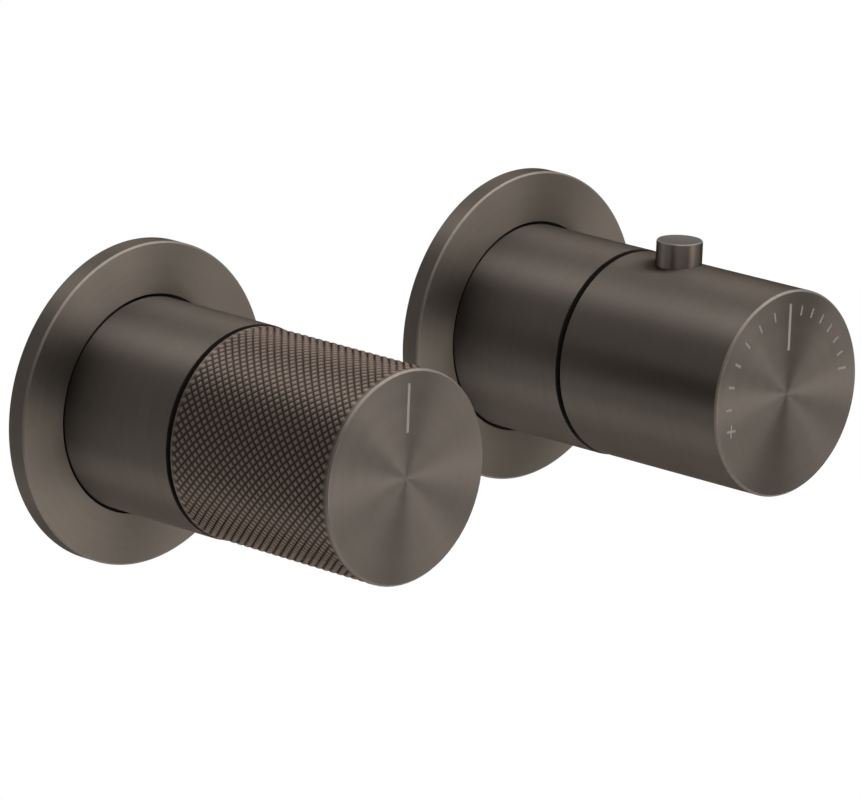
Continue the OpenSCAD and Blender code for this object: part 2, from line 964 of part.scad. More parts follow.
// Safety button: cap, stem and the groove of its clip
module safety_button() {
    color("#57514b") temp_frame() upright(0, button_z) difference() {
        turned([
            [0, stem_end],
            [stem_r, stem_end],
            [stem_r, button_base],
            [button_r, button_base],
            [button_r, button_top - knob_chamfer],
            [button_r - knob_chamfer, button_top],
            [0, button_top]
        ]);
        tube(stem_r + cut, stem_r - button_groove, button_clip_at - seat,
            button_clip_at + button_clip_t + seat);
    }
}

module button_clip() {
    color("#9a9da0") temp_frame() upright(0, button_z) difference() {
        tube(button_clip_r, stem_r - button_groove + seat, button_clip_at,
            button_clip_at + button_clip_t);
        wedge(2 * button_clip_r, 60, 120, button_clip_at - cut,
            button_clip_at + button_clip_t + cut);
    }
}

module button_spring() {
    color("#a9adb0") temp_frame() upright(0, button_z)
        translate([0, 0, boss_floor + seat])
            coil(button_spring_r, button_turns, button_wire_r, button_base - boss_floor - 2 * seat);
}

// Regulating nut: moves along the spindle's thread, kept from turning by two keys
module regulating_nut() {
    color("#c0995a") temp_frame() difference() {
        union() {
            rod(reg_nut_r, reg_nut_step, reg_nut_front);
            rod(reg_nut_tail_r, reg_nut_back, reg_nut_step + cut);
            translate([0, 0, reg_key_z])
                cube([2 * reg_key_r, reg_key_w, reg_key_len], center = true);
        }
        rod(screw_thread_r + fit, reg_cavity_top - cut, reg_nut_front + cut);
        rod(reg_cavity_r, thrust_clip_z - cut, reg_cavity_top);
        rod(thrust_clip_r + fit, thrust_clip_z - seat, thrust_clip_z + thrust_clip_t + seat);
        rod(reg_cavity_r, reg_nut_back - cut, thrust_clip_z);
    }
}

module overload_spring() {
    color("#a9adb0") temp_frame()
        translate([0, 0, thrust_cap_z + thrust_cap_t + seat])
            coil(overload_r, overload_turns, overload_wire_r,
                reg_cavity_top - thrust_cap_z - thrust_cap_t - 2 * seat);
}

module thrust_cap() {
    color("#b9bcbe") temp_frame() rod(thrust_cap_r, thrust_cap_z, thrust_cap_z + thrust_cap_t);
}

module thrust_clip() {
    color("#9a9da0") temp_frame() difference() {
        tube(thrust_clip_r, thrust_clip_in_r, thrust_clip_z, thrust_clip_z + thrust_clip_t);
        wedge(2 * thrust_clip_r, 75, 105, thrust_clip_z - cut, thrust_clip_z + 2 * cut);
    }
}

// Wax element: held in the shuttle's hub, its pin pushes on the thrust cap
module wax_element() {
    flange_z = web_back + web_t + seat;
    color("#c98b4a") temp_frame() {
        rod(wax_r, wax_tail, flange_z + edge);
        rod(wax_flange_r, flange_z, flange_z + wax_flange_t);
        rod(wax_pin_r, flange_z, thrust_cap_z - seat);
    }
}

// Shuttle: slides in the cartridge and opens one row of windows as it closes the other
module shuttle() {
    color("#8f8b82") temp_frame() difference() {
        union() {
            tube(shuttle_r, shuttle_in_r, hot_z, cold_z);
            rod(shuttle_in_r + edge, web_back, web_back + web_t);
            rod(web_hub_r, web_back - web_t, web_back + web_t);
        }
        rod(wax_r + fit, hot_z, cold_z);
        for (a = [45 : 90 : 315])
            rotate([0, 0, a]) translate([flow_hole_at, 0, 0])
                rod(flow_hole_r, web_back - web_t - cut, web_back + web_t + cut);
        shaft_groove(cartridge_bore_r, shuttle_ring_c, (hot_z + cold_z) / 2);
    }
}

module shuttle_ring() {
    color("#151515") temp_frame()
        o_ring(ring_mid(cartridge_bore_r, shuttle_ring_c), shuttle_ring_c, (hot_z + cold_z) / 2);
}

module return_spring() {
    base = cartridge_floor + 2 * seat + seat_washer_t;
    color("#a9adb0") temp_frame()
        translate([0, 0, base])
            coil(return_r, return_turns, return_wire_r, web_back - seat - base);
}

// Check valve: housing with seat and guide, sprung poppet, ring
module check_housing() {
    color("#dfe3e4") {
        difference() {
            rod(check_r, check_y, check_y + check_len);
            rod(check_entry_r, check_y - cut, check_seat_y);
            rod(check_seat_r, check_y, check_y + check_len);
            rod(check_bore_r, check_seat_y + check_seat_t, check_y + check_len + cut);
            shaft_groove(pocket_r, check_ring_c, check_y + check_entry_len / 2);
        }
        difference() {
            union() {
                rod(guide_hub_r, guide_y, guide_y + guide_t);
                for (a = [90, 210, 330])
                    rotate([0, 0, a])
                        translate([0, -guide_arm_w / 2, guide_y])
                            cube([check_bore_r + edge, guide_arm_w, guide_t]);
            }
            rod(poppet_stem_r + fit, guide_y - cut, guide_y + guide_t + cut);
        }
    }
}

module hot_check_housing() {
    hot_frame() check_housing();
}

module cold_check_housing() {
    cold_frame() check_housing();
}

module both_inlets() {
    hot_frame() children();
    cold_frame() children();
}

module check_rings() {
    color("#151515") both_inlets()
        o_ring(ring_mid(pocket_r, check_ring_c), check_ring_c, check_y + check_entry_len / 2);
}

module poppet() {
    color("#3f6f8f") {
        rod(poppet_r, poppet_y, poppet_y + poppet_t);
        rod(poppet_stem_r, poppet_y, guide_y + guide_t - edge);
    }
}

module hot_poppet() {
    hot_frame() poppet();
}

module cold_poppet() {
    cold_frame() poppet();
}

module check_spring() {
    base = poppet_y + poppet_t + seat;
    color("#a9adb0") translate([0, 0, base])
        coil(check_spring_r, check_turns, check_wire_r, guide_y - seat - base);
}

module hot_check_spring() {
    hot_frame() check_spring();
}

module cold_check_spring() {
    cold_frame() check_spring();
}

// Strainer: rim under the check valve, perforated cup inside its entry
module strainer() {
    cup_top = rim_y + strainer_rim_t + strainer_h;
    difference() {
        union() {
            rod(strainer_rim_r - fit, rim_y, rim_y + strainer_rim_t);
            rod(strainer_r, rim_y, cup_top);
        }
        rod(strainer_r - strainer_wall, rim_y - cut, cup_top - strainer_wall);
        for (row = [1 : strainer_rows], i = [0 : strainer_holes - 1])
            translate([0, 0, rim_y + strainer_rim_t + row * strainer_h / (strainer_rows + 1)])
                rotate([90, 0, 360 * i / strainer_holes])
                    rod(strainer_hole_r, strainer_r / 2, strainer_r + cut);
    }
}

module inlet_strainers() {
    color("#b9bcbe") both_inlets() strainer();
}

valve_body();
gallery_plug();
volume_rosette();
temp_rosette();
rosette_gaskets();
rosette_rings();
volume_sleeve();
temp_sleeve();
sleeve_rings();
headwork_body();
headwork_ring();
seat_gasket();
fixed_disc();
cartridge_housing();
cartridge_rings();
cartridge_nut();
spring_seat();
stop_ring();
hot_check_housing();
cold_check_housing();
check_rings();
inlet_strainers();
volume_knob();
volume_insert();
volume_insert_screw();
volume_grub_screw();
volume_spindle();
volume_clip();
volume_spindle_rings();
moving_disc();
temp_knob();
temp_insert();
temp_insert_screw();
temp_grub_screw();
temp_spindle();
temp_clip();
temp_spindle_rings();
safety_button();
button_clip();
button_spring();
regulating_nut();
overload_spring();
thrust_cap();
thrust_clip();
wax_element();
shuttle();
shuttle_ring();
return_spring();
hot_poppet();
cold_poppet();
hot_check_spring();
cold_check_spring();
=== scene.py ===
import json
import math

import bmesh
import bpy
from mathutils import Matrix, Vector


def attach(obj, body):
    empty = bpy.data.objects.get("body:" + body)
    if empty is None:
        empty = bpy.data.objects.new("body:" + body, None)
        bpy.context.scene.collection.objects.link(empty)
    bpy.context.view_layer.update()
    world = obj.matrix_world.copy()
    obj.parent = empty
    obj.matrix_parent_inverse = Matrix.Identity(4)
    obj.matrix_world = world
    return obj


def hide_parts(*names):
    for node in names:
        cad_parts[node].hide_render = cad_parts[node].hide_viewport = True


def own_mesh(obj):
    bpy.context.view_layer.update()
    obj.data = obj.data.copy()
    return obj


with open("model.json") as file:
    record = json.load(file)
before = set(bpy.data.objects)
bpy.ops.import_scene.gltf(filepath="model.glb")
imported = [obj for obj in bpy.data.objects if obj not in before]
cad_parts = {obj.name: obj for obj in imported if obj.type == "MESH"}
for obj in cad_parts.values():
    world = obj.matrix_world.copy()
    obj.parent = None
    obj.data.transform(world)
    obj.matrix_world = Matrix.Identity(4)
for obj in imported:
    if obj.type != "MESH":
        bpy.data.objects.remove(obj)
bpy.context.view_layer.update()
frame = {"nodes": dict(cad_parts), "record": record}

# Camera: a long lens from the upper left, turned 46 degrees to the wall and 14 degrees down.
# Its place comes from the outlines of the two rosettes and the two faces.
MM = 0.001
finished_wall = -60 * MM
middle_of_handles = finished_wall - 40 * MM
view_turn = math.radians(-46.105)
view_tilt = math.radians(14.048)
view_roll = math.radians(2.2)
view_distance = 1492.3 * MM
view_target = Vector((-8.586 * MM, middle_of_handles, 0.357 * MM))
view_reach = 20
sensor_width = 36
lens_in_pixels = 6999.6
picture_width = 861

back = Vector((
    math.sin(view_turn) * math.cos(view_tilt),
    -math.cos(view_turn) * math.cos(view_tilt),
    math.sin(view_tilt),
))
level = Vector((math.cos(view_turn), math.sin(view_turn), 0))
upright = back.cross(level)
right = level * math.cos(view_roll) + upright * math.sin(view_roll)
up = upright * math.cos(view_roll) - level * math.sin(view_roll)
place = view_target + back * view_distance

camera_data = bpy.data.cameras.new("camera")
camera_data.sensor_width = sensor_width
camera_data.lens = lens_in_pixels * sensor_width / picture_width
camera_data.clip_end = view_reach
camera = bpy.data.objects.new("camera", camera_data)
camera.matrix_world = Matrix((
    (right.x, up.x, back.x, place.x),
    (right.y, up.y, back.y, place.y),
    (right.z, up.z, back.z, place.z),
    (0, 0, 0, 1),
))
bpy.context.scene.collection.objects.link(camera)
bpy.context.scene.camera = camera
bpy.context.scene.view_settings.view_transform = "Standard"

# Finished wall and floor: a painted plaster wall, which hides the body in it from the front, and
# a honed stone floor as far below as such a valve sits above one, both sized in metres. Seen
# from behind, the wall lets the eye through to the body.
wall_reach = 1.6
sheet_clear = 0.3 * MM
wall_y = finished_wall + sheet_clear
floor_reach = 16
floor_height = -1.15


def linear(hex_colour):
    # Turns a colour written in sRGB into the linear light that the shaders work in.
    channels = [int(hex_colour[i:i + 2], 16) / 255 for i in (1, 3, 5)]
    return tuple(
        c / 12.92 if c <= 0.04045 else ((c + 0.055) / 1.055) ** 2.4 for c in channels) + (1,)


def add(tree, kind, settings=None, **links):
    # Adds a node. A setting is an input's name or number or a property's name, with its value;
    # a link is an input's name, or i and its number, with the socket that feeds it.
    made = tree.nodes.new(kind)
    for name, value in (settings or {}).items():
        if isinstance(name, int) or name in made.inputs:
            made.inputs[name].default_value = value
        else:
            setattr(made, name, value)
    for name, source in links.items():
        key = int(name[1:]) if name[0] == "i" and name[1:].isdigit() else name.replace("_", " ")
        tree.links.new(source, made.inputs[key])
    return made


def new_material(name):
    material = bpy.data.materials.new(name)
    material.use_nodes = True
    material.node_tree.nodes.clear()
    return material, material.node_tree


def flat_sheet(name, corners, material):
    mesh = bpy.data.meshes.new(name)
    mesh.from_pydata(corners, [], [(0, 1, 2, 3)])
    mesh.materials.append(material)
    sheet = bpy.data.objects.new(name, mesh)
    bpy.context.scene.collection.objects.link(sheet)


# Painted plaster: plain white to the eye and in what the metal mirrors, clear from behind.
plaster, tree = new_material("plaster_painted")
painted = add(tree, "ShaderNodeBsdfDiffuse", {"Color": linear("#f2f2f2")})
bright = add(tree, "ShaderNodeEmission", {"Color": (1, 1, 1, 1), "Strength": 1})
rays = add(tree, "ShaderNodeLightPath")
seen = add(tree, "ShaderNodeMath", {"operation": "MAXIMUM"},
           i0=rays.outputs["Is Camera Ray"], i1=rays.outputs["Is Glossy Ray"])
seen = add(tree, "ShaderNodeMath", {"operation": "MAXIMUM"},
           i0=seen.outputs[0], i1=rays.outputs["Is Transmission Ray"])
front = add(tree, "ShaderNodeMixShader", i0=seen.outputs[0], i1=painted.outputs[0],
            i2=bright.outputs[0])
clear = add(tree, "ShaderNodeBsdfTransparent")
side = add(tree, "ShaderNodeNewGeometry")
both = add(tree, "ShaderNodeMixShader", i0=side.outputs["Backfacing"], i1=front.outputs[0],
           i2=clear.outputs[0])
add(tree, "ShaderNodeOutputMaterial", Surface=both.outputs[0])

flat_sheet("finished_wall", [
    (-wall_reach, wall_y, floor_height), (wall_reach, wall_y, floor_height),
    (wall_reach, wall_y, wall_reach), (-wall_reach, wall_y, wall_reach),
], plaster)

# Honed stone: pale and quite matt, so that it shows nothing but soft shade.
pale_stone, tree = new_material("stone_honed")
honed = add(tree, "ShaderNodeBsdfDiffuse", {"Color": linear("#eeeeec")})
add(tree, "ShaderNodeOutputMaterial", Surface=honed.outputs[0])

flat_sheet("floor", [
    (-floor_reach, -floor_reach, floor_height), (floor_reach, -floor_reach, floor_height),
    (floor_reach, floor_reach, floor_height), (-floor_reach, floor_reach, floor_height),
], pale_stone)

# Studio: a pale room that grows lighter from left to right. Two wide soft lamps above and a
# small one below light the round sides, three in front light the spun faces, one on the right
# fills the shade, and one behind shows the body in the wall.
room_dark = 0.12
room_light = 0.6
room_spread = 0.9
room = bpy.data.worlds.new("pale_room")
room.use_nodes = True
tree = room.node_tree
tree.nodes.clear()
sight = add(tree, "ShaderNodeTexCoord")
parts = add(tree, "ShaderNodeSeparateXYZ", Vector=sight.outputs["Generated"])
level_of_light = add(tree, "ShaderNodeMapRange", {
    "From Min": -room_spread, "From Max": room_spread,
    "To Min": room_dark, "To Max": room_light}, Value=parts.outputs["X"])
sky = add(tree, "ShaderNodeBackground", {"Color": (1, 1, 1, 1)},
          Strength=level_of_light.outputs[0])
add(tree, "ShaderNodeOutputWorld", Surface=sky.outputs[0])
bpy.context.scene.world = room

# Each lamp's name, its direction and distance from the handles, width and height in metres, and
# radiance. A lamp's power is its radiance times pi times its area.
for name, direction, distance, width, height, radiance in (
    ("lamp_above", (-0.22, -0.32, 0.92), 1.1, 0.75, 0.60, 4.4),
    ("lamp_above_right", (0.50, -0.32, 0.78), 1.1, 0.90, 0.60, 3.2),
    ("lamp_below_left", (-0.62, -0.22, -0.75), 0.9, 0.4, 0.4, 1.7),
    ("lamp_front", (0.17, -0.95, -0.24), 1.1, 1.00, 0.36, 4.4),
    ("lamp_front_high", (0.36, -0.92, 0.12), 1.1, 0.5, 0.25, 4.8),
    ("lamp_front_low", (0.36, -0.74, -0.57), 1.1, 0.5, 0.25, 4.4),
    ("lamp_right", (0.75, -0.62, -0.20), 1.1, 0.8, 0.8, 0.6),
    ("lamp_behind", (0.30, 0.80, 0.50), 1.2, 1.0, 1.0, 2.0),
):
    light = bpy.data.lights.new(name, "AREA")
    light.shape = "RECTANGLE"
    light.size = width
    light.size_y = height
    light.energy = radiance * math.pi * width * height
    lamp = bpy.data.objects.new(name, light)
    away = Vector(direction).normalized()
    lamp.location = Vector((0, middle_of_handles, 0)) + away * distance
    lamp.rotation_euler = away.to_track_quat("Z", "Y").to_euler()
    lamp.visible_camera = False
    bpy.context.scene.collection.objects.link(lamp)

# Rosettes: turned steel plates with a brown grey vapour coating, spun with a belt so that the
# brush lines run round the axis. A small bevel breaks their front edge, and a groove at the back
# holds the foam gasket against the wall. Sizes from here on are in mm.
axis_aside = 58.5
volume_axis = Vector((-axis_aside * MM, finished_wall, 0))
temp_axis = Vector((axis_aside * MM, finished_wall, 0))
both_sides = (("volume", volume_axis), ("temp", temp_axis))
rosette_r = 35
rosette_t = 4.5
rosette_bore = 23.7
rosette_bevel = 0.45
bevel_round = 0.12
bore_break = 0.1
wall_gap = 0.02
groove_in = 30.0
groove_out = 33.6
groove_depth = 1.6
round_steps = 256
slack = 0.01
usual_smooth = 40

# A face whose normal turns to the front by more than front_normal is a front, by less than
# side_normal a side, and in between a broken edge.
front_normal = 0.98
side_normal = 0.2


def distance_from_axis(tree, parts):
    # Works out how far a point lies from the axis of its trim.
    xx = add(tree, "ShaderNodeMath", {"operation": "MULTIPLY"},
             i0=parts.outputs["X"], i1=parts.outputs["X"])
    rr = add(tree, "ShaderNodeMath", {"operation": "MULTIPLY_ADD"},
             i0=parts.outputs["Z"], i1=parts.outputs["Z"], i2=xx.outputs[0])
    return add(tree, "ShaderNodeMath", {"operation": "SQRT"}, i0=rr.outputs[0])


def round_brushed(tree, **links):
    # Coated steel brushed round the axis, which stretches each highlight across the lines. The
    # coating mirrors a little less at a glancing angle than bare steel would.
    round_the_axis = add(tree, "ShaderNodeTangent", {"direction_type": "RADIAL", "axis": "Y"})
    shader = add(tree, "ShaderNodeBsdfPrincipled", {
        "Metallic": 1, "Anisotropic": 0.95, "Anisotropic Rotation": 0.25,
        "Specular Tint": linear("#8a8886")}, Tangent=round_the_axis.outputs[0], **links)
    add(tree, "ShaderNodeOutputMaterial", Surface=shader.outputs[0])


def spun_steel(name, colour, rough, streaks):
    # Fine and broad circles of brush lines over a slow drift of the coating's colour. A real belt
    # leaves lines of 0.05 mm, too fine to show here, so they are drawn wider. Round the axis the
    # noise runs on by only line_run in each radian, so every line is long.
    fine_line = 0.3 * MM
    broad_line = 1.5 * MM
    line_run = 0.6 * MM
    drift_size = 30 * MM
    drift_share = 0.05
    rough_swing = 0.03
    material, tree = new_material(name)
    spot = add(tree, "ShaderNodeTexCoord")
    parts = add(tree, "ShaderNodeSeparateXYZ", Vector=spot.outputs["Object"])
    radius = distance_from_axis(tree, parts)
    turn = add(tree, "ShaderNodeMath", {"operation": "ARCTAN2"},
               i0=parts.outputs["Z"], i1=parts.outputs["X"])
    along = add(tree, "ShaderNodeMath", {"operation": "MULTIPLY", 1: line_run},
                i0=turn.outputs[0])
    lines = add(tree, "ShaderNodeCombineXYZ", X=radius.outputs[0], Y=parts.outputs["Y"],
                Z=along.outputs[0])
    fine = add(tree, "ShaderNodeTexNoise", {"Scale": 1 / fine_line, "Detail": 2, "Roughness": 0.6},
               Vector=lines.outputs[0])
    broad = add(tree, "ShaderNodeTexNoise", {"Scale": 1 / broad_line, "Detail": 1},
                Vector=lines.outputs[0])
    drift = add(tree, "ShaderNodeTexNoise", {"Scale": 1 / drift_size, "Detail": 2},
                Vector=spot.outputs["Object"])
    mixed = add(tree, "ShaderNodeMath", {"operation": "ADD"}, i0=fine.outputs["Fac"],
                i1=broad.outputs["Fac"])
    shade = add(tree, "ShaderNodeMapRange", {"From Min": 0.6, "From Max": 1.4,
                "To Min": 1 - streaks, "To Max": 1 + streaks}, Value=mixed.outputs[0])
    slow = add(tree, "ShaderNodeMapRange", {"From Min": 0.3, "From Max": 0.7,
               "To Min": 1 - drift_share, "To Max": 1 + drift_share}, Value=drift.outputs["Fac"])
    both = add(tree, "ShaderNodeMath", {"operation": "MULTIPLY"}, i0=shade.outputs[0],
               i1=slow.outputs[0])
    tint = add(tree, "ShaderNodeVectorMath", {"operation": "SCALE", 0: linear(colour)[:3]},
               Scale=both.outputs[0])
    polish = add(tree, "ShaderNodeMapRange", {"From Min": 0.3, "From Max": 0.7,
                 "To Min": rough - rough_swing, "To Max": rough + rough_swing},
                 Value=fine.outputs["Fac"])
    bump = add(tree, "ShaderNodeBump", {"Strength": 0.12, "Distance": 0.02 * MM},
               Height=fine.outputs["Fac"])
    round_brushed(tree, Base_Color=tint.outputs[0], Roughness=polish.outputs[0],
                  Normal=bump.outputs[0])
    return material


def grained(name, dark, light, metal, rough, grain, detail=3, swing=0, bump=0, relief=0.05):
    # A plain surface: two near colours mixed by a noise as coarse as its grain in mm. Where they
    # are given, the roughness swings with the grain and a bump stands on it, with relief in mm.
    material, tree = new_material(name)
    spot = add(tree, "ShaderNodeTexCoord")
    noise = add(tree, "ShaderNodeTexNoise", {"Scale": 1 / (grain * MM), "Detail": detail},
                Vector=spot.outputs["Object"])
    shade = add(tree, "ShaderNodeMix", {"data_type": "RGBA", "A": linear(dark),
                "B": linear(light)}, Factor=noise.outputs["Fac"])
    shader = add(tree, "ShaderNodeBsdfPrincipled", {"Metallic": metal, "Roughness": rough},
                 Base_Color=shade.outputs[2])
    if swing:
        polish = add(tree, "ShaderNodeMapRange", {"From Min": 0.3, "From Max": 0.7,
                     "To Min": rough - swing, "To Max": rough + swing}, Value=noise.outputs["Fac"])
        tree.links.new(polish.outputs[0], shader.inputs["Roughness"])
    if bump:
        height = add(tree, "ShaderNodeBump", {"Strength": bump, "Distance": relief * MM},
                     Height=noise.outputs["Fac"])
        tree.links.new(height.outputs[0], shader.inputs["Normal"])
    add(tree, "ShaderNodeOutputMaterial", Surface=shader.outputs[0])
    return material


def turned_mesh(outline, sides, closed=True):
    # Outline points are (radius, distance out of the wall); they turn round the axis.
    shape = bmesh.new()
    rings = []
    for radius, out in outline:
        if radius == 0:
            rings.append([shape.verts.new((0, -out * MM, 0))] * sides)
            continue
        rings.append([
            shape.verts.new((
                radius * MM * math.sin(2 * math.pi * i / sides),
                -out * MM,
                radius * MM * math.cos(2 * math.pi * i / sides),
            ))
            for i in range(sides)
        ])
    steps = len(rings) if closed else len(rings) - 1
    for k in range(steps):
        inner, outer = rings[k], rings[(k + 1) % len(rings)]
        for i in range(sides):
            j = (i + 1) % sides
            corners = []
            for corner in (inner[i], inner[j], outer[j], outer[i]):
                if corner not in corners:
                    corners.append(corner)
            if len(corners) > 2:
                shape.faces.new(corners)
    bmesh.ops.recalc_face_normals(shape, faces=shape.faces)
    return shape


def soft_edge(radius, out, turn_from, turn_to, bevel, steps=4):
    # Points of a rounded edge: an arc of the bevel's radius about (radius, out).
    return [
        (radius + bevel * math.cos(math.radians(a)), out + bevel * math.sin(math.radians(a)))
        for a in [turn_from + (turn_to - turn_from) * s / steps for s in range(steps + 1)]
    ]


def broken_edge(radius, out, size):
    # Points from the side to the front of an edge that a belt broke at 45 degrees.
    return (
        soft_edge(radius - bevel_round, out - size, 0, 45, bevel_round)
        + soft_edge(radius - size, out - bevel_round, 45, 90, bevel_round)
    )


def piece(name, shape, middle, body, slot, materials, *nodes, smooth_below=usual_smooth):
    # Puts a mesh on its axis with its materials and body, in place of the CAD's nodes. Its slot is
    # not used.
    mesh = bpy.data.meshes.new(name)
    shape.to_mesh(mesh)
    shape.free()
    for material in materials:
        mesh.materials.append(material)
    mesh.shade_smooth()
    mesh.set_sharp_from_angle(angle=math.radians(smooth_below))
    made = bpy.data.objects.new(name, mesh)
    made.location = middle
    bpy.context.scene.collection.objects.link(made)
    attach(made, body)
    if nodes:
        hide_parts(*nodes)
    return made


# Spun steel: a warm dark grey with a soft fan of light that turns round the axis.
spun_face = spun_steel("steel_dark_coated_spun", "#5e5751", 0.5, 0.05)

# Spun plate: a shade lighter, with slightly stronger lines, as a coarser belt leaves it.
spun_plate = spun_steel("steel_dark_coated_spun_plate", "#6c645c", 0.5, 0.06)

# Dark bore: turned steel coloured nearly black, painted shade in the gaps between the parts.
bore_painted_shade = grained("steel_turned_painted_shade", "#191715", "#24211e", 0.6, 0.7, 2)

# Broken edges: coloured a little brighter than the faces beside them, a painted highlight.
edge_painted_highlight = grained("steel_dark_coated_belted_edge", "#6b645d", "#7b736b", 1, 0.48, 1.2,
                      detail=2)

rosette_outline = (
    [(rosette_bore, wall_gap), (rosette_bore, rosette_t - bore_break),
     (rosette_bore + bore_break, rosette_t)]
    + broken_edge(rosette_r, rosette_t, rosette_bevel)[::-1]
    + [(rosette_r, wall_gap), (groove_out, wall_gap), (groove_out, groove_depth),
       (groove_in, groove_depth), (groove_in, wall_gap)]
)
plate_finishes = [spun_face, bore_painted_shade, edge_painted_highlight, spun_plate]
for side_name, middle in both_sides:
    plate = piece(side_name + "_rosette_plate", turned_mesh(rosette_outline, round_steps), middle,
                  "valve", "dark_brushed_steel", plate_finishes, side_name + "_rosette")
    for face in plate.data.polygons:
        # The bore takes the dark colour: painted shade for the gap line round the sleeve.
        if math.hypot(face.center.x, face.center.z) < (rosette_bore + slack) * MM:
            face.material_index = plate_finishes.index(bore_painted_shade)
        # The broken edge takes the lighter colour: painted highlight.
        elif -front_normal < face.normal.y < -side_normal:
            face.material_index = plate_finishes.index(edge_painted_highlight)
        elif face.normal.y <= -front_normal:
            face.material_index = plate_finishes.index(spun_plate)

# Sleeves: drawn steel tubes with the same coating, brushed round, slid over the brass necks
# until they stop. An inner web closes them at the front; foot, inside and web get painted shade.
sleeve_r = 23.1
sleeve_in = 21.1
sleeve_back = 0.04
sleeve_front = 34.9
sleeve_web = 3
sleeve_hole = 15
sleeve_edge = 0.15
foot_below_front = 0.25
painted_shade_to = rosette_t - foot_below_front
sleeve_outline = (
    [(sleeve_in, sleeve_back), (sleeve_r, sleeve_back), (sleeve_r, painted_shade_to)]
    + soft_edge(sleeve_r - sleeve_edge, sleeve_front - sleeve_edge, 0, 90, sleeve_edge)
    + [(sleeve_hole, sleeve_front), (sleeve_hole, sleeve_front - sleeve_web),
       (sleeve_in, sleeve_front - sleeve_web)]
)
sleeve_finishes = [spun_face, bore_painted_shade]
for side_name, middle in both_sides:
    tube = piece(side_name + "_sleeve_tube", turned_mesh(sleeve_outline, round_steps), middle,
                 "valve", "dark_brushed_steel", sleeve_finishes, side_name + "_sleeve")
    # The foot and the inside take the dark bore colour: painted shade.
    for face in tube.data.polygons:
        in_foot = -face.center.y < painted_shade_to * MM
        if in_foot or math.hypot(face.center.x, face.center.z) < (sleeve_r - sleeve_edge) * MM:
            face.material_index = sleeve_finishes.index(bore_painted_shade)

# Knurled knob: a turned steel cup whose side is rolled with two crossing spiral tools, so that
# rows of small pyramids stand on it. The face is spun, with one engraved line, and a grub screw
# holds the cup on its insert.
knob_r = 22.85
knob_in = 19.85
knob_back = 36.1
knob_front = 82.0
knob_floor = 77.5
knob_bevel = 0.5
plain_back = 0.05
plain_front = 0.75
rolled_from = knob_back + plain_back
rolled_to = knob_front - plain_front
rim_drop = 0.03
knurl_depth = 0.16
knurl_starts = 69
knurl_rows = 43
knurl_flat_share = 0.3
line_width = 0.9
line_from = 0.42 * knob_r
line_to = 0.875 * knob_r
mark_depth = 0.12
cutter_over = 1


def knurled_cup():
    shape = bmesh.new()
    columns = 2 * knurl_starts
    groove_r = knob_r - knurl_depth
    rim_r = knob_r - rim_drop
    row_step = (rolled_to - rolled_from) / knurl_rows

    def point(radius, column, out):
        angle = 2 * math.pi * column / columns
        return shape.verts.new((
            radius * MM * math.sin(angle), -out * MM, radius * MM * math.cos(angle)))

    # Grooves cross where row and column add to an even number, and run out at both ends.
    crossing = {}
    for row in range(knurl_rows + 1):
        radius = rim_r if row in (0, knurl_rows) else groove_r
        for column in range(row % 2, columns, 2):
            crossing[row, column] = point(radius, column, rolled_from + row * row_step)

    # Between four crossings stands a pyramid with a small flat; plain triangles close the
    # ends.
    for row in range(knurl_rows + 1):
        out = rolled_from + row * row_step
        for column in range((row + 1) % 2, columns, 2):
            left = crossing[row, (column - 1) % columns]
            beside = crossing[row, (column + 1) % columns]
            below = crossing.get((row - 1, column))
            above = crossing.get((row + 1, column))
            if below and above:
                flat = [
                    point(knob_r, column - knurl_flat_share, out),
                    point(knob_r, column, out - knurl_flat_share * row_step),
                    point(knob_r, column + knurl_flat_share, out),
                    point(knob_r, column, out + knurl_flat_share * row_step),
                ]
                ring = [left, below, beside, above]
                for k in range(4):
                    shape.faces.new([ring[k], ring[(k + 1) % 4], flat[(k + 1) % 4], flat[k]])
                shape.faces.new(flat)
            else:
                shape.faces.new([left, beside, below or above])

    # The back ring runs into the cup, and the front ring rises over the rim to the face.
    inside = [(rim_r, knob_back), (knob_in, knob_back), (knob_in, knob_floor)]
    rim = broken_edge(rim_r, knob_front, knob_bevel)
    for row, outline in ((0, inside), (knurl_rows, rim)):
        ring = [crossing[row, column] for column in range(row % 2, columns, 2)]
        for radius, out in outline:
            following = [point(radius, row % 2 + 2 * i, out) for i in range(knurl_starts)]
            for i in range(knurl_starts):
                j = (i + 1) % knurl_starts
                shape.faces.new([ring[i], ring[j], following[j], following[i]])
            ring = following
        shape.faces.new(ring)
    bmesh.ops.recalc_face_normals(shape, faces=shape.faces)
    return shape


def cut_boxes(marks):
    # Engraving cutters: one closed box for each mark, given as its angle in degrees from the
    # top, its two radii and its width.
    shape = bmesh.new()
    for turn, inner, outer, width in marks:
        corners = []
        for out in (knob_front - mark_depth, knob_front + cutter_over):
            for radius, aside in ((inner, -width / 2), (outer, -width / 2),
                                  (outer, width / 2), (inner, width / 2)):
                a = math.radians(turn)
                x = radius * math.sin(a) + aside * math.cos(a)
                z = radius * math.cos(a) - aside * math.sin(a)
                corners.append(shape.verts.new((x * MM, -out * MM, z * MM)))
        for face in ((0, 1, 2, 3), (4, 5, 6, 7), (0, 1, 5, 4), (1, 2, 6, 5), (2, 3, 7, 6),
                     (3, 0, 4, 7)):
            shape.faces.new([corners[i] for i in face])
    bmesh.ops.recalc_face_normals(shape, faces=shape.faces)
    return shape


